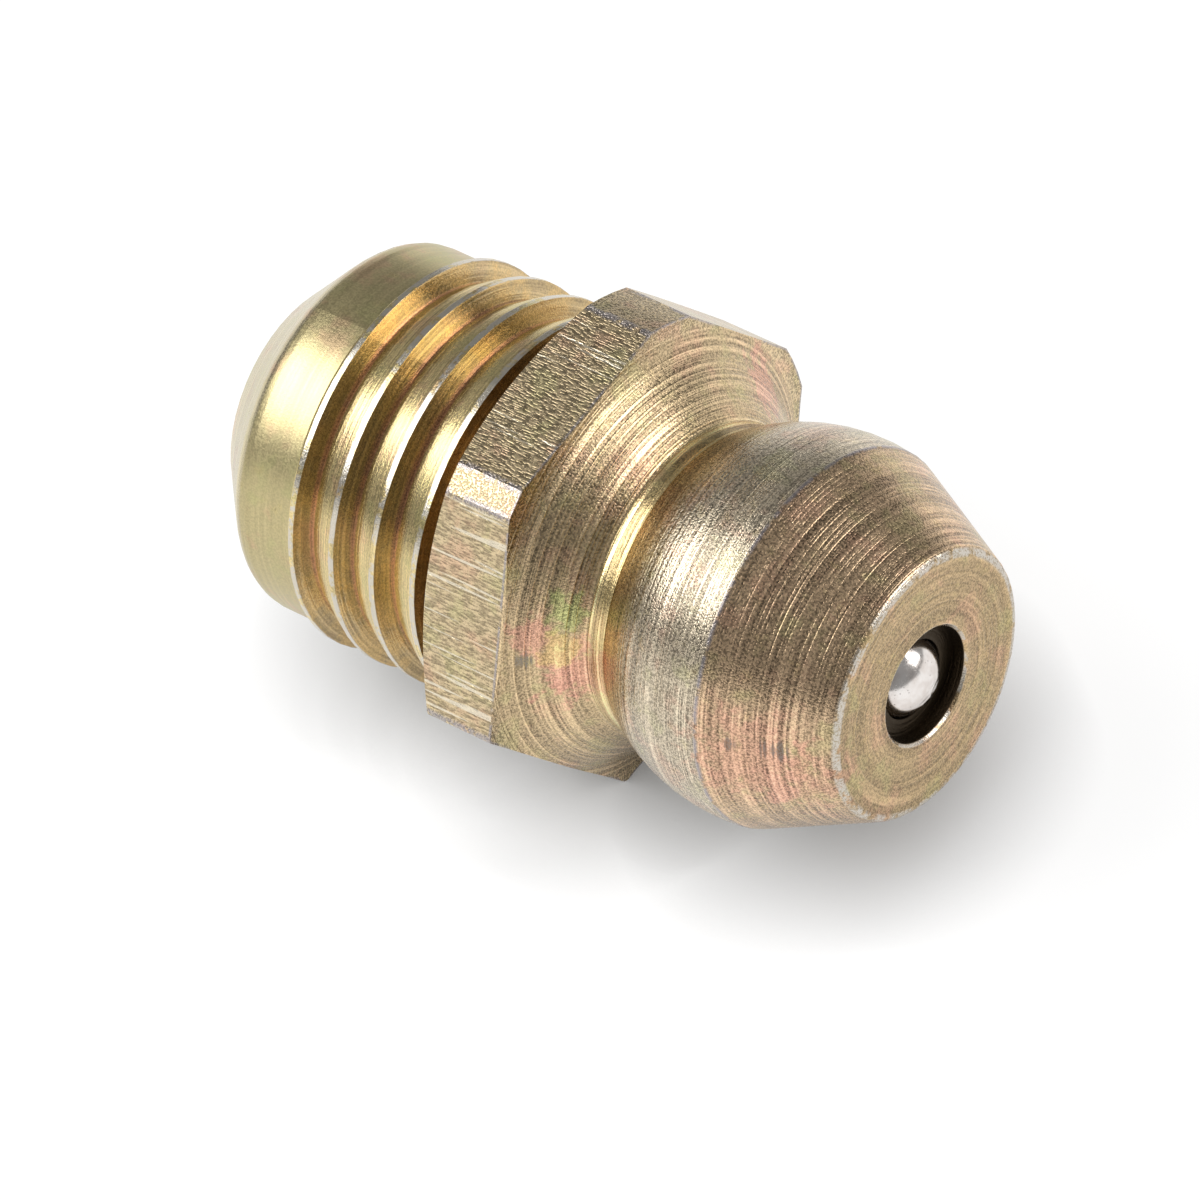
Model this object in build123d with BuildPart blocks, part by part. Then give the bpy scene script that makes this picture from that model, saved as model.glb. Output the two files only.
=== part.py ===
"""Drive-in grease nipple: a turned steel body with a hexagonal collar, a check ball and its spring.

The nipple lies on one side of its hexagon, with its axis along X and its head towards +X.
The origin is on the axis, in the plane of the seat: the back face of the collar, which stops
against the housing. Stations along the axis are measured from there, the head positive and the
shank negative. All sizes are in millimetres.
"""
from build123d import *
from math import cos, radians, sin, sqrt, tan
import os

# ---------------------------------------------------------------- driving dimensions
# Collar: hexagonal bar, turned over its corners
hex_across_flats = 7.70
hex_runout = 0.14  # how far the bar's centre stands off the turned axis
hex_runout_angle = 64.0  # from straight up, towards +Y
collar_dia = 8.60
collar_length = 1.63  # seat to front shoulder
shoulder_width = 0.45  # front shoulder, outside the flare
back_chamfer_angle = 25.5  # from the plane of the seat

# Head: what a grease coupler grips
flare_angle = 46.5  # half angle of the cone from the shoulder down to the neck
flare_round = 0.80
neck_dia = 5.56
neck_length = 0.373
neck_round = 0.10
head_dia = 6.77  # spherical band
cone_start = 0.452  # from the centre of the sphere forward to the nose cone
cone_length = 2.148
cone_angle = 24.5  # half angle
nose_edge_round = 0.16

# Shank: driven into a drilled hole
barb_dia = 6.92
barb_count = 4
barb_pitch = 0.87
barb_height = 0.36
barb_land = 0.10  # full-diameter land on each crest
barb_face_lean = 0.12  # how far the steep holding face leans over its height
first_barb_depth = 0.43  # seat to the first crest
relief_height = 0.41  # crests to the bottom of the relief under the collar
undercut_depth = 0.10  # the relief also cuts into the collar, inside the seat
seat_offset = 0.04  # crests to the inside of the seat
seat_width = 0.18
pilot_step = 0.155  # crests to the pilot
pilot_lead = 0.14  # length of the taper from the last crest down to the pilot
pilot_length = 1.115
tip_dia = 4.30  # open end
tip_chamfer_angle = 46.0  # half angle
tip_edge_round = 0.45

# Valve
ball_dia = 1.588
ball_gap = 0.03  # between the closed ball and its seat, along the axis
valve_seat_angle = 25.0  # half angle
seat_lead = 0.01  # from the ball's contact ring in to the hole of the lip
lip_length = 0.05
recess_dia = 2.06
recess_depth = 0.30
recess_break = 0.05  # bevel round the mouth of the recess
chamber_clearance = 0.206  # ball to the wall of its chamber
wire_dia = 0.25
spring_clearance = 0.19  # spring to the wall of the chamber
spring_length = 4.60  # fitted, between the middles of its closed ends
spring_turns = 6  # open turns, between the closed ends
end_turn_set = 0.05  # how far the closed ends stand beyond the open turns
spring_gap = 0.01  # between the spring's ends and what they bear on
wire_sides = 8
drilling_dia = 1.20  # from the chamber to the open end
drilling_chamfer = 0.15

# ---------------------------------------------------------------- worked-out places
# Collar, flare, neck and head, from the seat forward
hex_r = hex_across_flats / 2
runout_y = hex_runout * sin(radians(hex_runout_angle))
runout_z = hex_runout * cos(radians(hex_runout_angle))
collar_r = collar_dia / 2
flare_r = collar_r - shoulder_width
neck_r = neck_dia / 2
neck_back_x = collar_length + (flare_r - neck_r) / tan(radians(flare_angle))
neck_front_x = neck_back_x + neck_length
head_r = head_dia / 2
head_x = neck_front_x + sqrt(head_r**2 - neck_r**2)
edge_x = head_x + cone_start
nose_x = edge_x + cone_length
nose_r = sqrt(head_r**2 - cone_start**2) - cone_length * tan(radians(cone_angle))

# Shank, from the seat back
barb_r = barb_dia / 2
root_r = barb_r - barb_height
relief_r = barb_r - relief_height
undercut_r = barb_r + seat_offset
seat_r = undercut_r + seat_width
back_chamfer_x = (collar_r - seat_r) * tan(radians(back_chamfer_angle))
barb_xs = [-first_barb_depth - i * barb_pitch for i in range(barb_count)]
last_land_x = barb_xs[-1] - barb_land
pilot_r = barb_r - pilot_step
pilot_front_x = last_land_x - pilot_lead
pilot_back_x = pilot_front_x - pilot_length
tip_r = tip_dia / 2
end_x = pilot_back_x - (pilot_r - tip_r) / tan(radians(tip_chamfer_angle))

# Valve: the ball closes on the ring where the seat's cone is tangent to it
ball_r = ball_dia / 2
seat_ring_r = ball_r * cos(radians(valve_seat_angle))
lip_r = seat_ring_r - seat_lead
chamber_r = ball_r + chamber_clearance
seat_slope = tan(radians(valve_seat_angle))
lip_front_x = nose_x - recess_depth
lip_back_x = lip_front_x - lip_length
ball_x = lip_back_x - seat_lead / seat_slope - ball_r * sin(radians(valve_seat_angle)) - ball_gap
chamber_front_x = lip_back_x - (chamber_r - lip_r) / seat_slope

# Spring: its front end bears on the ball, its back end on the floor of the chamber
wire_r = wire_dia / 2
coil_r = chamber_r - spring_clearance - wire_r
spring_front_x = ball_x - sqrt((ball_r + spring_gap + wire_r) ** 2 - coil_r**2)
spring_back_x = spring_front_x - spring_length
open_back_x = spring_back_x + end_turn_set
open_length = spring_length - 2 * end_turn_set
chamber_back_x = spring_back_x - wire_r - spring_gap
drilling_r = drilling_dia / 2


def on_head(x):
    """The point of the head's sphere at station x, as (x, radius)."""
    return (x, sqrt(head_r**2 - (x - head_x) ** 2))


os.makedirs("parts", exist_ok=True)

# ---------------------------------------------------------------- body
with BuildPart() as body:
    # Everything that is turned outside, from the nose face back to the open end
    with BuildSketch(Plane.XZ) as outside:
        with BuildLine():
            Polyline((end_x, 0), (nose_x, 0), (nose_x, nose_r), on_head(edge_x))
            ThreePointArc(on_head(edge_x), on_head(head_x), on_head(neck_front_x))
            Polyline(
                (neck_front_x, neck_r),
                (neck_back_x, neck_r),
                (collar_length, flare_r),
                (collar_length, collar_r),
                (back_chamfer_x, collar_r),
                (0, seat_r),
                (0, undercut_r),
                (undercut_depth, undercut_r - undercut_depth),
                (undercut_depth, relief_r),
                (barb_xs[0] + barb_face_lean, relief_r),
            )
            Line((barb_xs[0] + barb_face_lean, relief_r), (barb_xs[0], barb_r))
            for x in barb_xs:
                Line((x, barb_r), (x - barb_land, barb_r))
            for x, next_x in zip(barb_xs, barb_xs[1:]):
                root = (next_x + barb_face_lean, root_r)
                Polyline((x - barb_land, barb_r), root, (next_x, barb_r))
            Polyline(
                (last_land_x, barb_r),
                (pilot_front_x, pilot_r),
                (pilot_back_x, pilot_r),
                (end_x, tip_r),
                (end_x, 0),
            )
        make_face()
        for corner, radius in (
            ((nose_x, nose_r), nose_edge_round),
            ((neck_back_x, neck_r), neck_round),
            ((collar_length, flare_r), flare_round),
            ((pilot_back_x, pilot_r), tip_edge_round),
        ):
            fillet(outside.vertices().sort_by_distance(corner)[0], radius)
    revolve(axis=Axis.X)

    # The six flats of the bar, from the seat to where the flare runs out of them
    with BuildSketch(Plane.YZ):
        Circle(collar_r + hex_runout)
        with Locations((runout_y, runout_z)):
            RegularPolygon(hex_r, 6, major_radius=False, mode=Mode.SUBTRACT)
    extrude(amount=neck_back_x, mode=Mode.SUBTRACT)

    # Recess in the nose, lip, valve seat, chamber and the drilling through the shank
    with BuildSketch(Plane.XZ):
        with BuildLine():
            Polyline(
                (nose_x, 0),
                (nose_x, recess_dia / 2 + recess_break),
                (nose_x - recess_break, recess_dia / 2),
                (lip_front_x, recess_dia / 2),
                (lip_front_x, lip_r),
                (lip_back_x, lip_r),
                (chamber_front_x, chamber_r),
                (chamber_back_x, chamber_r),
                (chamber_back_x, drilling_r),
                (end_x + drilling_chamfer, drilling_r),
                (end_x, drilling_r + drilling_chamfer),
                (end_x, 0),
                (nose_x, 0),
            )
        make_face()
    revolve(axis=Axis.X, mode=Mode.SUBTRACT)

body.part.label = "body"
export_step(body.part, "parts/body.step")

# ---------------------------------------------------------------- ball
with BuildPart() as ball:
    with Locations((ball_x, 0, 0)):
        Sphere(ball_r)

ball.part.label = "ball"
export_step(ball.part, "parts/ball.step")

# ---------------------------------------------------------------- spring
# Its wire has eight sides, which keeps the fine coil light.
with BuildPart() as spring:
    # Open turns
    with BuildLine() as coil:
        Helix(open_length / spring_turns, open_length, coil_r, (open_back_x, 0, 0), (1, 0, 0))
    with BuildSketch(Plane(origin=coil.line @ 0, z_dir=coil.line % 0)):
        RegularPolygon(wire_r, wire_sides)
    sweep(path=coil.line, is_frenet=True)

    # Closed end turns
    with BuildSketch(Plane.XZ):
        with Locations((spring_back_x, coil_r), (spring_front_x, coil_r)):
            RegularPolygon(wire_r, wire_sides)
    revolve(axis=Axis.X)

spring.part.label = "spring"
export_step(spring.part, "parts/spring.step")
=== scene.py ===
"""The look of the grease nipple: plating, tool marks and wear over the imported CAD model."""

import math

import bmesh
import bpy
from mathutils import Matrix, Vector


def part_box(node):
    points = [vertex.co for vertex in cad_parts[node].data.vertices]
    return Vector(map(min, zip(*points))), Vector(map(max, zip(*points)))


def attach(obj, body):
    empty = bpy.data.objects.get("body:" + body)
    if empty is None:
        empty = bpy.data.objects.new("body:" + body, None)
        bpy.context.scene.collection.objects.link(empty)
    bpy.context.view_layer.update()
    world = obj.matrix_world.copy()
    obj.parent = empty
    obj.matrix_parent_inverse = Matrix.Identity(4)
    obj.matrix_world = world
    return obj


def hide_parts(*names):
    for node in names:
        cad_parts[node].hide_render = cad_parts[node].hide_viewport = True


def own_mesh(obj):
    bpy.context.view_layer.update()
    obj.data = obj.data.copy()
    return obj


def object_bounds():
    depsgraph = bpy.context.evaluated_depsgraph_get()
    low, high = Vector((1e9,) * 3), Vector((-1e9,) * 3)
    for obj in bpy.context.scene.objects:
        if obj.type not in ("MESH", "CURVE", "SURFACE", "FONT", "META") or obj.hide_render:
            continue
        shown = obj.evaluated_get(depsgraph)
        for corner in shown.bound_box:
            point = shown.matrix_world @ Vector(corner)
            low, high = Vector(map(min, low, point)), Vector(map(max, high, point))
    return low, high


MM = 0.001
MICRON = 0.001 * MM

# ---------------------------------------------------------------- frame
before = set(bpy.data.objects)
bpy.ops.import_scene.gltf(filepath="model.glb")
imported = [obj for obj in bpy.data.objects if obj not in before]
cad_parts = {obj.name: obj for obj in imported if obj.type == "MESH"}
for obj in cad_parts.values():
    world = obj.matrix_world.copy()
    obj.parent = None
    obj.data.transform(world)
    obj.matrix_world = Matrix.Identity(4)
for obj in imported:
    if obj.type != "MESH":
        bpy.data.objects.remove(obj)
cad_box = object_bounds()

# ---------------------------------------------------------------- stations and radii
# In millimetres, with x along the axis from the seat

# Where each stretch with a finish of its own starts
PILOT_X = -4.36
BARBS_X = -3.25
COLLAR_X = 0.05
FLARE_X = 1.64
NECK_X = 2.66
HEAD_X = 3.06
CONE_X = 5.402
FACE_X = 7.49

OPEN_END_X = -5.5
RELIEF_X = (-0.33, 0.12)  # from the last barb into the undercut of the seat
GOLD_X = (2.75, 3.55)  # from the end of the flare up on to the rear of the head
COLLAR_FRONT_X = 1.63
NOSE_X = 7.55

RECESS_R = 1.03
RECESS_MOUTH_R = 1.08
NOSE_RIM_R = 2.34
HEAD_SKIN_R = 3.1  # at the cone's rear end, all that lies beyond this is the outside
ROOT_R = 3.10
RELIEF_R = (3.20, 3.35)  # the painted shade in the relief fades out between these
CREST_R = 3.46
COLLAR_R = 4.30

HEX_R = 3.85  # from the hexagon's centre to its flats
HEX_CENTRE = (0.1258, 0.0614)  # in y and z
HEX_NORMALS = ((0.0, 1.0), (0.8660254, 0.5), (0.8660254, -0.5))  # of its three pairs of flats

# ---------------------------------------------------------------- camera
SENSOR_WIDTH = 36
LENS = 450
CAMERA_PLACE = (130.61046, -92.32326, 189.29073)
CAMERA_RIGHT = (0.77245171, 0.58618941, -0.24433649)
CAMERA_UP = (-0.35951237, 0.72077652, 0.59264835)


def make_camera():
    """A long lens, looking down on the object from its nose's side."""
    data = bpy.data.cameras.new("camera")
    data.sensor_width = SENSOR_WIDTH
    data.lens = LENS
    data.clip_start = 0.01
    camera = bpy.data.objects.new("camera", data)
    bpy.context.scene.collection.objects.link(camera)
    right = Vector(CAMERA_RIGHT)
    up = Vector(CAMERA_UP)
    back = right.cross(up)
    turn = Matrix((right, up, back)).transposed().to_4x4()
    camera.matrix_world = Matrix.Translation(Vector(CAMERA_PLACE) * MM) @ turn
    bpy.context.scene.camera = camera


# ---------------------------------------------------------------- node helper
SHADE_LIMIT = 0.96  # the brightest that light marks may make a colour


class Graph:
    """Writes a material's nodes as expressions.

    A value is a number, a tuple or another node's socket.
    """

    def __init__(self, name):
        self.material = bpy.data.materials.new(name)
        self.material.use_nodes = True
        self.tree = self.material.node_tree
        self.tree.nodes.clear()
        self.output = self.add("ShaderNodeOutputMaterial")

    def add(self, kind, **settings):
        node = self.tree.nodes.new(kind)
        for name, value in settings.items():
            setattr(node, name, value)
        return node

    def put(self, socket, value):
        if isinstance(value, bpy.types.NodeSocket):
            self.tree.links.new(value, socket)
        elif isinstance(value, tuple) and len(value) == 3 and socket.type == "RGBA":
            socket.default_value = (*value, 1)
        else:
            socket.default_value = value

    def math(self, operation, *values):
        node = self.add("ShaderNodeMath", operation=operation)
        for socket, value in zip(node.inputs, values):
            self.put(socket, value)
        return node.outputs[0]

    def multiply(self, first, *rest):
        for value in rest:
            first = self.math("MULTIPLY", first, value)
        return first

    def plus(self, first, *rest):
        for value in rest:
            first = self.math("ADD", first, value)
        return first

    def ramp(self, value, low, high, start=0.0, end=1.0):
        """Goes smoothly from start to end as the value goes from low to high."""
        node = self.add("ShaderNodeMapRange", interpolation_type="SMOOTHSTEP")
        for socket, number in zip(node.inputs, (value, low, high, start, end)):
            self.put(socket, number)
        return node.outputs[0]

    def band(self, value, low, high, soft):
        """One between low and high, and zero outside."""
        rise = self.ramp(value, low - soft, low + soft)
        return self.multiply(rise, self.ramp(value, high - soft, high + soft, 1.0, 0.0))

    def vector(self, x, y, z):
        node = self.add("ShaderNodeCombineXYZ")
        for socket, value in zip(node.inputs, (x, y, z)):
            self.put(socket, value)
        return node.outputs[0]

    def noise(self, vector, detail=2.0, roughness=0.55):
        node = self.add("ShaderNodeTexNoise")
        self.put(node.inputs["Vector"], vector)
        self.put(node.inputs["Scale"], 1.0)
        self.put(node.inputs["Detail"], detail)
        self.put(node.inputs["Roughness"], roughness)
        return node.outputs["Fac"]

    def cells(self, vector):
        """Distance to the nearest scattered point, and a random value for that point."""
        node = self.add("ShaderNodeTexVoronoi")
        self.put(node.inputs["Vector"], vector)
        self.put(node.inputs["Scale"], 1.0)
        pick = self.add("ShaderNodeSeparateColor")
        self.tree.links.new(node.outputs["Color"], pick.inputs[0])
        return node.outputs["Distance"], pick.outputs[0]

    def mix(self, amount, first, second):
        node = self.add("ShaderNodeMix", data_type="RGBA")
        colours = [s for s in node.inputs if s.type == "RGBA"]
        self.put(node.inputs[0], amount)
        self.put(colours[0], first)
        self.put(colours[1], second)
        return [s for s in node.outputs if s.type == "RGBA"][0]

    def blend(self, amount, first, second):
        """The same as mix, for plain numbers."""
        node = self.add("ShaderNodeMix", data_type="FLOAT")
        numbers = [s for s in node.inputs if s.type == "VALUE"]
        for socket, value in zip(numbers, (amount, first, second)):
            self.put(socket, value)
        return [s for s in node.outputs if s.type == "VALUE"][0]

    def shaded(self, colour, shade):
        """The colour times shade, held at SHADE_LIMIT."""
        tone = self.add("ShaderNodeVectorMath", operation="SCALE")
        self.put(tone.inputs[0], colour)
        self.put(tone.inputs["Scale"], shade)
        capped = self.add("ShaderNodeVectorMath", operation="MINIMUM")
        self.put(capped.inputs[0], tone.outputs[0])
        capped.inputs[1].default_value = (SHADE_LIMIT,) * 3
        return capped.outputs[0]

    def bump(self, height, microns, below=None):
        node = self.add("ShaderNodeBump")
        self.put(node.inputs["Strength"], 1.0)
        self.put(node.inputs["Distance"], microns * MICRON)
        self.put(node.inputs["Height"], height)
        if below is not None:
            self.put(node.inputs["Normal"], below)
        return node.outputs[0]

    def metal(self, colour, roughness, normal):
        shader = self.add("ShaderNodeBsdfPrincipled")
        shader.inputs["Metallic"].default_value = 1
        self.put(shader.inputs["Base Color"], colour)
        self.put(shader.inputs["Roughness"], roughness)
        self.put(shader.inputs["Normal"], normal)
        self.tree.links.new(shader.outputs[0], self.output.inputs["Surface"])


# A patch's ragged edge, in its radii: how far it is torn, where it is still full and where it ends
SPOT_TEAR = 3.2
SPOT_FULL = 0.55
SPOT_END = 1.15


class Place:
    """Where a point of the object is, in millimetres, and the patterns laid out by that."""

    def __init__(self, graph):
        self.graph = graph
        self.coordinates = graph.add("ShaderNodeTexCoord")
        scale = graph.add("ShaderNodeVectorMath", operation="SCALE")
        graph.put(scale.inputs["Vector"], self.coordinates.outputs["Object"])
        scale.inputs["Scale"].default_value = 1 / MM
        self.point = scale.outputs[0]
        split = graph.add("ShaderNodeSeparateXYZ")
        graph.put(split.inputs[0], self.point)
        self.x, self.y, self.z = split.outputs

    def grain(self, period, length, **detail):
        """Marks along the axis, as on drawn bar."""
        g = self.graph
        across, along = 1 / period, 1 / length
        return g.noise(
            g.vector(
                g.multiply(self.x, along), g.multiply(self.y, across), g.multiply(self.z, across)
            ),
            **detail,
        )

    def speckle(self, period, **detail):
        """Even noise, with this many millimetres to a spot."""
        return self.grain(period, period, **detail)

    def spot(self, centre, radius, ragged):
        """A patch round a place on the surface, its edge torn up by the value ragged."""
        g = self.graph
        away = g.add("ShaderNodeVectorMath", operation="DISTANCE")
        g.put(away.inputs[0], self.point)
        away.inputs[1].default_value = centre
        torn = g.multiply(g.math("SUBTRACT", ragged, 0.5), radius * SPOT_TEAR)
        edge = g.plus(away.outputs["Value"], torn)
        return g.ramp(edge, radius * SPOT_FULL, radius * SPOT_END, 1.0, 0.0)


NEAREST_R = 0.05  # keeps divisions by the radius finite on the axis
END_FACE_GAIN = 8.0  # how quickly a surface that leans along the axis counts as an end face
MARKS_R = 3.5  # ring marks have their stated length at this radius


class TurnedPlace(Place):
    """The same on a turned surface, with its radius, its lean, and marks that run round it."""

    def __init__(self, graph):
        super().__init__(graph)
        facing = graph.add("ShaderNodeSeparateXYZ")
        graph.put(facing.inputs[0], self.coordinates.outputs["Normal"])
        self.facing_x = facing.outputs[0]
        squares = graph.plus(graph.multiply(self.y, self.y), graph.multiply(self.z, self.z))
        self.r = graph.math("MAXIMUM", graph.math("SQRT", squares), NEAREST_R)

        # Along the turned profile, and round the axis without a seam
        side = graph.math("MINIMUM", graph.multiply(self.facing_x, END_FACE_GAIN), 1.0)
        side = graph.math("MAXIMUM", side, -1.0)
        self.profile = graph.math("SUBTRACT", self.x, graph.multiply(self.r, side))
        self.round_y = graph.math("DIVIDE", self.y, self.r)
        self.round_z = graph.math("DIVIDE", self.z, self.r)

    def rings(self, period, length, **detail):
        """Tool marks round the axis, this far apart and about this long at MARKS_R."""
        g = self.graph
        turn = MARKS_R / length
        return g.noise(
            g.vector(
                g.multiply(self.profile, 1 / period),
                g.multiply(self.round_y, turn),
                g.multiply(self.round_z, turn),
            ),
            **detail,
        )


# ---------------------------------------------------------------- plated steel
# A finish is a colour, a roughness, the depth of the ring marks and of the grain in microns,
# and how strongly the ring marks and the speckle show as light and dark
TIP_FINISH = ((0.62, 0.54, 0.35), 0.27, 0.6, 0.25, 0.12, 0.08)
# In front of the tip, each finish with the station where it starts
FINISHES = (
    (PILOT_X, (0.54, 0.46, 0.25), 0.35, 0.4, 0.30, 0.06, 0.09),
    (BARBS_X, (0.66, 0.53, 0.27), 0.23, 0.7, 0.35, 0.15, 0.14),
    (COLLAR_X, (0.53, 0.42, 0.26), 0.26, 0.0, 2.40, 0.00, 0.46),
    (FLARE_X, (0.53, 0.40, 0.24), 0.26, 4.0, 0.95, 0.28, 0.30),
    (NECK_X, (0.68, 0.55, 0.30), 0.22, 2.6, 0.40, 0.40, 0.16),
    (HEAD_X, (0.55, 0.47, 0.35), 0.25, 1.6, 1.05, 0.24, 0.36),
    (CONE_X, (0.53, 0.38, 0.24), 0.27, 2.6, 1.05, 0.27, 0.36),
    (FACE_X, (0.44, 0.32, 0.18), 0.29, 2.6, 0.90, 0.17, 0.28),
)
FINISH_BLUR = 0.03

PINK = (0.68, 0.35, 0.26)
GREEN = (0.46, 0.50, 0.20)
YELLOW = (0.72, 0.58, 0.22)
# AMBER and UMBER: painted shade and reflection on the barbs' holding faces; ROSE: a painted
# highlight at their roots; DULL_BROWN: painted shade in the relief
AMBER = (0.66, 0.44, 0.20)
UMBER = (0.46, 0.34, 0.19)
ROSE = (0.72, 0.40, 0.42)
DULL_BROWN = (0.42, 0.33, 0.20)
GOLD = (0.60, 0.44, 0.19)
LILAC = (0.38, 0.36, 0.40)
WORN = (0.64, 0.61, 0.56)
PALE = (0.88, 0.80, 0.64)
DIRT = (0.12, 0.085, 0.05)
GREY = (0.17, 0.16, 0.15)
# Painted shade: near black for the recess and bore
PAINTED_RECESS_SHADE = (0.05, 0.036, 0.022)

# Patches of interference colour: centre, radius, colour, strength
PATCHES = (
    ((2.02, 3.30, 0.99), 0.60, PINK, 0.65),
    ((2.06, -2.97, 1.63), 0.42, PINK, 0.70),
    ((2.57, -2.75, 0.77), 0.70, PINK, 0.85),
    ((2.40, -2.42, 1.83), 0.38, GREEN, 0.75),
    ((2.29, -2.75, 1.20), 0.36, YELLOW, 0.55),
    ((2.50, -0.09, 2.93), 0.45, PINK, 0.30),
    ((6.20, -2.75, 0.60), 1.00, PINK, 0.45),
    ((6.90, -2.40, 0.20), 0.80, PINK, 0.35),
)
# Gouges worn through to grey: centre, radius
GOUGES = (
    ((1.97, -3.25, 1.26), 0.13),
    ((6.62, -2.65, 0.90), 0.17),
    ((6.70, -2.55, 0.86), 0.10),
    ((5.94, -2.94, 1.01), 0.13),
)
# Depths in microns
SCRATCH_DEPTH = 1.5
PIT_DEPTH = 3.0
GOUGE_DEPTH = 2.5

EASED = 0.35  # how much of their lean along the axis the lead-in slopes' shading keeps


def stretch_finish(g, p):
    """The finish of the stretch that a point is on, blurred so that none ends on a line."""
    colour, *numbers = TIP_FINISH
    for start_x, next_colour, *next_numbers in FINISHES:
        here = g.ramp(p.x, start_x - FINISH_BLUR, start_x + FINISH_BLUR)
        colour = g.mix(here, colour, next_colour)
        numbers = [g.blend(here, old, new) for old, new in zip(numbers, next_numbers)]
    return colour, numbers


def chromate_colours(g, p, colour, tint, blotch):
    """Interference colours: faint all over, stronger in patches, and gold round the neck."""
    colour = g.mix(g.multiply(g.ramp(tint, 0.52, 0.66), 0.26), colour, PINK)
    colour = g.mix(g.multiply(g.ramp(tint, 0.47, 0.34), 0.22), colour, GREEN)
    colour = g.mix(g.multiply(g.ramp(blotch, 0.55, 0.72), 0.16), colour, YELLOW)
    for centre, radius, patch_colour, strength in PATCHES:
        patch = g.multiply(p.spot(centre, radius, blotch), strength)
        colour = g.mix(patch, colour, patch_colour)
    return g.mix(g.multiply(g.band(p.x, *GOLD_X, 0.35), 0.55), colour, GOLD)


def barb_painted_light(g, p, colour, shank, tint):
    """Painted shade and reflection, amber to brown, on the holding faces, a painted rose highlight
    at the roots, and painted dull brown shade in the relief.
    """
    # Painted shade and reflection on the holding faces, amber to brown at random
    holding = g.multiply(shank, g.ramp(p.facing_x, 0.35, 0.75))
    holding_face_shade = g.mix(g.ramp(tint, 0.42, 0.58), AMBER, UMBER)
    # A painted highlight: a rose line at the roots
    root_highlight = g.multiply(
        shank, g.ramp(p.r, ROOT_R + 0.05, ROOT_R + 0.015), g.ramp(p.facing_x, 0.7, 0.3)
    )
    # Painted shade: dull brown in the relief before the collar
    relief = g.multiply(g.band(p.x, *RELIEF_X, 0.03), g.ramp(p.r, *RELIEF_R, 1.0, 0.0))
    colour = g.mix(g.multiply(holding, 0.75), colour, holding_face_shade)
    colour = g.mix(g.multiply(root_highlight, 0.65), colour, ROSE)
    return g.mix(g.multiply(relief, 0.8), colour, DULL_BROWN)


def collar_edges(g, p):
    """The collar's edges, where two of its three kinds of face come close.

    These are the flats, the land turned over the corners, and the front.
    """
    to_flat = None
    for across_y, across_z in HEX_NORMALS:
        offset = -(HEX_CENTRE[0] * across_y + HEX_CENTRE[1] * across_z)
        reach = g.plus(g.multiply(p.y, across_y), g.multiply(p.z, across_z), offset)
        reach = g.math("ABSOLUTE", reach)
        to_flat = reach if to_flat is None else g.math("MAXIMUM", to_flat, reach)
    to_flat = g.math("SUBTRACT", HEX_R, to_flat)
    to_land = g.math("SUBTRACT", COLLAR_R, p.r)
    to_front = g.math("SUBTRACT", COLLAR_FRONT_X, p.x)
    nearer = g.math("MINIMUM", to_flat, to_front)
    farther = g.math("MAXIMUM", to_flat, to_front)
    second_nearest = g.math("MAXIMUM", nearer, g.math("MINIMUM", farther, to_land))
    on_collar = g.band(p.x, COLLAR_X - 0.03, FLARE_X, 0.01)
    return g.multiply(g.ramp(second_nearest, 0.050, 0.015), on_collar)


def worn_edges(g, p, colour, shank, blotch, speckle):
    """Thin grey lines along the edges, broken up."""
    broken = g.ramp(blotch, 0.40, 0.52)
    cone_edge = g.multiply(
        g.band(p.x, CONE_X - 0.03, CONE_X + 0.03, 0.03),
        g.ramp(p.r, HEAD_SKIN_R - 0.1, HEAD_SKIN_R),
    )
    off_x = g.math("SUBTRACT", p.x, NOSE_X)
    off_r = g.math("SUBTRACT", p.r, NOSE_RIM_R)
    off_rim = g.math("SQRT", g.plus(g.multiply(off_x, off_x), g.multiply(off_r, off_r)))
    rim = g.ramp(off_rim, 0.115, 0.05)
    rim_wear = g.ramp(speckle, 0.35, 0.55, 0.3, 0.85)
    mouth = g.multiply(
        g.band(p.r, RECESS_R + 0.005, RECESS_MOUTH_R + 0.005, 0.012),
        g.ramp(p.x, FACE_X - 0.04, FACE_X),
    )
    crests = g.multiply(g.ramp(p.r, CREST_R - 0.020, CREST_R - 0.005), shank)

    colour = g.mix(g.multiply(cone_edge, broken, 0.7), colour, LILAC)
    colour = g.mix(g.multiply(collar_edges(g, p), broken, 0.65), colour, LILAC)
    colour = g.mix(g.multiply(rim, broken, rim_wear), colour, WORN)
    colour = g.mix(g.multiply(mouth, broken, 0.7), colour, WORN)
    return g.mix(g.multiply(crests, broken, 0.8), colour, WORN)


def eased_normal(g, shank):
    """The shading normal, which leans less along the axis on the barbs' lead-in slopes.

    So the highlight falls there as on gentler slopes. The mesh keeps its own slope.
    """
    geometry = g.add("ShaderNodeNewGeometry")
    normal = g.add("ShaderNodeSeparateXYZ")
    g.put(normal.inputs[0], geometry.outputs["Normal"])
    lean, y, z = normal.outputs
    lead_in = g.multiply(g.ramp(lean, 0.0, -0.2), shank)
    eased = g.multiply(lean, g.blend(lead_in, 1.0, EASED))
    unit = g.add("ShaderNodeVectorMath", operation="NORMALIZE")
    g.put(unit.inputs[0], g.vector(eased, y, z))
    return unit.outputs[0]


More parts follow.
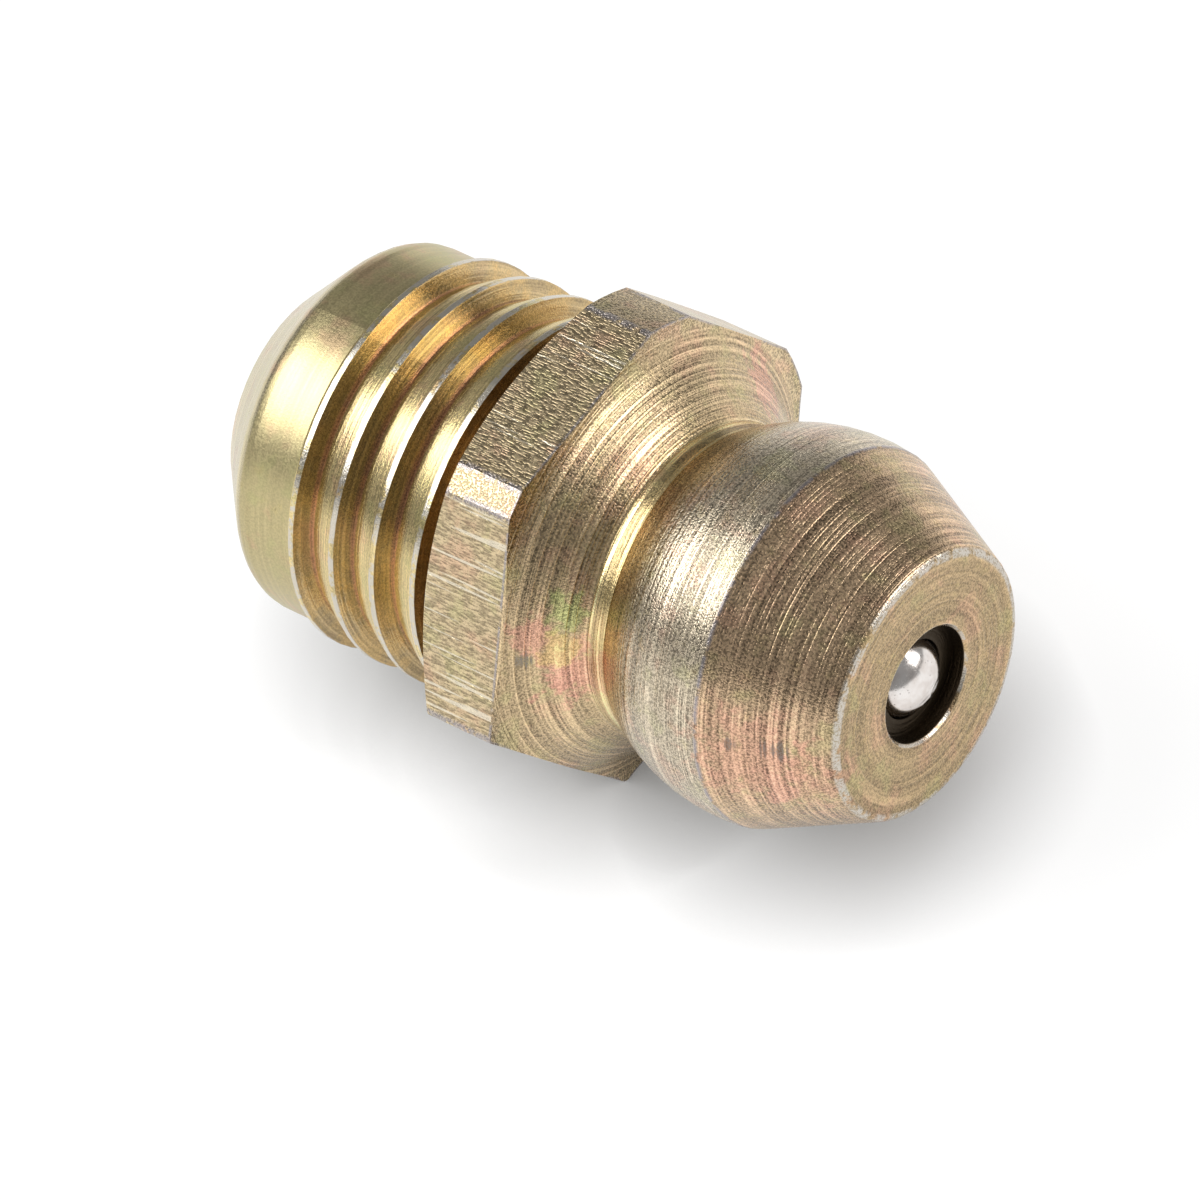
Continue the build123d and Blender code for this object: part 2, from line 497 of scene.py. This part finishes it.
def plated_steel():
    g = Graph("plated_steel")
    p = TurnedPlace(g)

    # The noise seldom leaves 0.3 to 0.7, and the ramps on it are set for that
    lines = p.rings(period=0.070, length=6.0, detail=1.2, roughness=0.6)
    speckle = p.speckle(period=0.036, detail=1.0)
    blotch = p.speckle(period=0.30, detail=4.0, roughness=0.65)
    tint = p.speckle(period=0.85, detail=3.0, roughness=0.65)
    drawn = p.grain(period=0.038, length=0.17, detail=1.0)
    fibres = p.grain(period=0.07, length=2.4, detail=0.0)

    shank = g.band(p.x, BARBS_X, COLLAR_X, 0.01)
    flats = g.multiply(
        g.band(p.x, COLLAR_X, FLARE_X - 0.02, 0.01),
        g.ramp(p.r, COLLAR_R - 0.03, COLLAR_R - 0.05),
    )

    colour, numbers = stretch_finish(g, p)
    roughness, ring_depth, grain_depth, ring_tone, speckle_tone = numbers
    colour = chromate_colours(g, p, colour, tint, blotch)
    # Painted shade, reflection and highlight on the barbs
    colour = barb_painted_light(g, p, colour, shank, tint)

    # Light and dark of the tool marks and the speckle
    bright_lines = g.ramp(lines, 0.52, 0.64)
    dark_lines = g.ramp(lines, 0.48, 0.36)
    ring_tone = g.multiply(ring_tone, g.ramp(tint, 0.36, 0.60, 0.4, 1.3))
    spots = g.ramp(speckle, 0.36, 0.64, -1.0, 1.0)
    streaks = g.ramp(drawn, 0.36, 0.64, -1.0, 1.0)
    spots = g.blend(g.multiply(flats, 0.7), spots, streaks)
    shade = g.plus(
        1.0,
        g.multiply(bright_lines, ring_tone, 1.5),
        g.multiply(dark_lines, ring_tone, -1.0),
        g.multiply(spots, speckle_tone),
    )
    colour = g.shaded(colour, shade)

    # Long bright scratches on the flats
    scratch = g.multiply(flats, g.ramp(fibres, 0.67, 0.74))
    colour = g.mix(g.multiply(scratch, 0.7), colour, PALE)

    colour = worn_edges(g, p, colour, shank, blotch, speckle)

    # Pits and gouges on the outside, and painted shade in the recess and bore
    outside = g.ramp(p.r, RECESS_MOUTH_R + 0.02, RECESS_MOUTH_R + 0.06)
    pit = g.multiply(g.ramp(blotch, 0.70, 0.74), g.ramp(speckle, 0.40, 0.50), outside)
    colour = g.mix(g.multiply(pit, 0.75), colour, DIRT)
    gouge = 0.0
    for centre, radius in GOUGES:
        gouge = g.math("MAXIMUM", gouge, p.spot(centre, radius, lines))
    colour = g.mix(g.multiply(gouge, g.ramp(speckle, 0.3, 0.6), 0.8), colour, GREY)
    # Painted shade: the recess and bore made near black
    recess_shade = g.multiply(
        g.ramp(p.r, RECESS_MOUTH_R - 0.035, RECESS_MOUTH_R - 0.05),
        g.ramp(p.x, OPEN_END_X, OPEN_END_X + 0.1),
        g.ramp(p.x, NOSE_X - 0.01, NOSE_X - 0.03),
    )
    colour = g.mix(recess_shade, colour, PAINTED_RECESS_SHADE)

    roughness = g.plus(
        roughness, g.multiply(spots, 0.04), g.multiply(pit, 0.25), g.multiply(recess_shade, 0.15)
    )
    height = g.plus(
        g.multiply(g.ramp(lines, 0.34, 0.66, -1.0, 1.0), ring_depth),
        g.multiply(spots, grain_depth),
        g.multiply(scratch, -SCRATCH_DEPTH),
        g.multiply(pit, -PIT_DEPTH),
        g.multiply(gouge, -GOUGE_DEPTH),
    )
    g.metal(colour, roughness, g.bump(height, 1.0, eased_normal(g, shank)))
    return g.material


# ---------------------------------------------------------------- ball
BALL_PITS_TO_A_MM = 14.0
BALL_STAINED = (0.72, 0.66, 0.62)
BALL_CLEAN = (0.84, 0.80, 0.77)
BALL_PIT = (0.22, 0.20, 0.18)


def bearing_steel():
    g = Graph("bearing_steel")
    p = Place(g)
    haze = p.speckle(period=0.06, detail=3.0)
    clouds = p.speckle(period=0.30, detail=2.0)
    scattered = g.vector(*(g.multiply(v, BALL_PITS_TO_A_MM) for v in (p.x, p.y, p.z)))
    distance, chance = g.cells(scattered)
    pit = g.multiply(g.ramp(distance, 0.12, 0.24, 1.0, 0.0), g.ramp(chance, 0.62, 0.68))
    colour = g.mix(g.ramp(clouds, 0.35, 0.65), BALL_STAINED, BALL_CLEAN)
    colour = g.mix(g.multiply(pit, 0.45), colour, BALL_PIT)
    roughness = g.plus(0.10, g.multiply(haze, 0.16), g.multiply(pit, 0.2))
    height = g.plus(g.multiply(haze, 0.35), g.multiply(pit, -0.6))
    g.metal(colour, roughness, g.bump(height, 1.0))
    return g.material


# ---------------------------------------------------------------- spring
WIRE_R = 0.125 * MM
SPRING_TURNS = 6
END_SET = 0.05 * MM  # how far the closed ends stand beyond the open turns
WIRE_SIDES = 16
STEPS_A_TURN = 64
WIRE_CLEAN = (0.42, 0.41, 0.40)
WIRE_STAINED = (0.30, 0.27, 0.23)


def spring_wire():
    g = Graph("spring_wire")
    p = Place(g)
    drawn = p.speckle(period=0.05, detail=3.0)
    stain = p.speckle(period=0.5, detail=2.0)
    colour = g.mix(g.ramp(stain, 0.4, 0.7), WIRE_CLEAN, WIRE_STAINED)
    roughness = g.plus(0.26, g.multiply(drawn, 0.2))
    g.metal(colour, roughness, g.bump(drawn, 0.6))
    return g.material


def sweep_wire(mesh, stations, closed):
    """Sweeps round wire through stations, each a centre and the two directions across the wire."""
    rings = []
    for centre, outward, sideways in stations:
        ring = []
        for i in range(WIRE_SIDES):
            angle = math.tau * i / WIRE_SIDES
            across = math.cos(angle) * outward + math.sin(angle) * sideways
            ring.append(mesh.verts.new(centre + WIRE_R * across))
        rings.append(ring)
    following = rings[1:] + rings[:1] if closed else rings[1:]
    for first, second in zip(rings, following):
        for i in range(WIRE_SIDES):
            j = (i + 1) % WIRE_SIDES
            mesh.faces.new((first[i], first[j], second[j], second[i]))
    if not closed:
        mesh.faces.new(reversed(rings[0]))
        mesh.faces.new(rings[-1])


def coil_stations(coil_r, start_x, length, turns):
    """Stations along a coil, or round one flat ring if the length is zero."""
    steps = round(turns * STEPS_A_TURN)
    pitch = length / math.tau / turns
    count = steps + 1 if length else steps
    for i in range(count):
        angle = math.pi / 2 + math.tau * turns * i / steps
        outward = Vector((0, math.cos(angle), math.sin(angle)))
        centre = Vector((start_x + length * i / steps, 0, 0)) + coil_r * outward
        along = Vector((pitch, -coil_r * math.sin(angle), coil_r * math.cos(angle))).normalized()
        yield centre, outward, along.cross(outward)


def make_spring():
    """The spring in round wire, in its solid's place."""
    low, high = (Vector(corner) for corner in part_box("spring"))
    coil_r = high.z - WIRE_R
    back_x, front_x = low.x + WIRE_R, high.x - WIRE_R
    wire = bmesh.new()
    sweep_wire(wire, coil_stations(coil_r, back_x, 0, 1), closed=True)
    sweep_wire(wire, coil_stations(coil_r, front_x, 0, 1), closed=True)
    open_x, open_length = back_x + END_SET, front_x - back_x - 2 * END_SET
    sweep_wire(wire, coil_stations(coil_r, open_x, open_length, SPRING_TURNS), closed=False)
    bmesh.ops.recalc_face_normals(wire, faces=wire.faces)
    for face in wire.faces:
        face.smooth = True
    mesh = bpy.data.meshes.new("coil_spring")
    wire.to_mesh(mesh)
    wire.free()
    spring = bpy.data.objects.new("coil_spring", mesh)
    bpy.context.scene.collection.objects.link(spring)
    mesh.materials.append(spring_wire())
    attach(spring, "body")
    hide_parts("spring")
    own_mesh(spring)


# ---------------------------------------------------------------- light and floor
FLOOR_REACH = 400 * MM
FLOOR_GLOW = 0.85
FLOOR_GREY = 0.25
SHADOW_REACH = 2.3 * MM  # how far from the object its contact shadow begins
SHADOW_SAMPLES = 2
WORLD_GREY = 0.29

LAMP_DISTANCE = 400 * MM
LAMP_TARGET = Vector((1.0, 0, 0)) * MM
# Name, azimuth and elevation as seen from the object, half its width and height, all in degrees,
# and radiance
LAMPS = (
    ("key", -152, 50, 19, 19, 4.3),
    ("side", 33, 25, 17, 14, 4.0),
    ("low_card", -98, 8, 34, 8, 0.95),
)


def make_floor(z):
    """A lit white table: pale to the eye and in the metal, and it keeps the object's shadow."""
    low, high = -FLOOR_REACH, FLOOR_REACH
    corners = [(low, low, z), (high, low, z), (high, high, z), (low, high, z)]
    mesh = bpy.data.meshes.new("floor")
    mesh.from_pydata(corners, [], [(0, 1, 2, 3)])
    floor = bpy.data.objects.new("floor", mesh)
    bpy.context.scene.collection.objects.link(floor)
    g = Graph("floor")
    path = g.add("ShaderNodeLightPath")
    seen = g.math("MAXIMUM", path.outputs["Is Camera Ray"], path.outputs["Is Glossy Ray"])
    seen = g.math("MAXIMUM", seen, path.outputs["Is Transmission Ray"])
    contact = g.add("ShaderNodeAmbientOcclusion", samples=SHADOW_SAMPLES)
    contact.inputs["Distance"].default_value = SHADOW_REACH
    glow = g.add("ShaderNodeEmission")
    glow.inputs["Color"].default_value = (1, 1, 1, 1)
    g.put(glow.inputs["Strength"], g.multiply(seen, contact.outputs["AO"], FLOOR_GLOW))
    diffuse = g.add("ShaderNodeBsdfDiffuse")
    diffuse.inputs["Color"].default_value = (FLOOR_GREY, FLOOR_GREY, FLOOR_GREY, 1)
    both = g.add("ShaderNodeAddShader")
    g.tree.links.new(glow.outputs[0], both.inputs[0])
    g.tree.links.new(diffuse.outputs[0], both.inputs[1])
    g.tree.links.new(both.outputs[0], g.output.inputs["Surface"])
    mesh.materials.append(g.material)


def softbox(name, azimuth, elevation, half_width, half_height, radiance):
    """A soft box turned towards the object. It isn't seen by the camera."""
    az, el = math.radians(azimuth), math.radians(elevation)
    direction = Vector((math.cos(el) * math.cos(az), math.cos(el) * math.sin(az), math.sin(el)))
    data = bpy.data.lights.new(name, "AREA")
    data.shape = "RECTANGLE"
    data.size = 2 * LAMP_DISTANCE * math.tan(math.radians(half_width))
    data.size_y = 2 * LAMP_DISTANCE * math.tan(math.radians(half_height))
    data.energy = radiance * math.pi * data.size * data.size_y
    light = bpy.data.objects.new(name, data)
    light.location = LAMP_TARGET + direction * LAMP_DISTANCE
    light.rotation_euler = direction.to_track_quat("Z", "Y").to_euler()
    light.visible_camera = False
    bpy.context.scene.collection.objects.link(light)


def make_world():
    world = bpy.data.worlds.new("world")
    world.use_nodes = True
    background = world.node_tree.nodes["Background"]
    background.inputs["Color"].default_value = (WORLD_GREY, WORLD_GREY, WORLD_GREY, 1)
    background.inputs["Strength"].default_value = 1.0
    bpy.context.scene.world = world


# ---------------------------------------------------------------- scene
make_camera()
make_world()
make_spring()
make_floor(cad_box[0].z)
for lamp in LAMPS:
    softbox(*lamp)

for name, material in (("body", plated_steel()), ("ball", bearing_steel())):
    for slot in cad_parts[name].material_slots:
        slot.material = material

bpy.context.scene.view_settings.view_transform = "Standard"
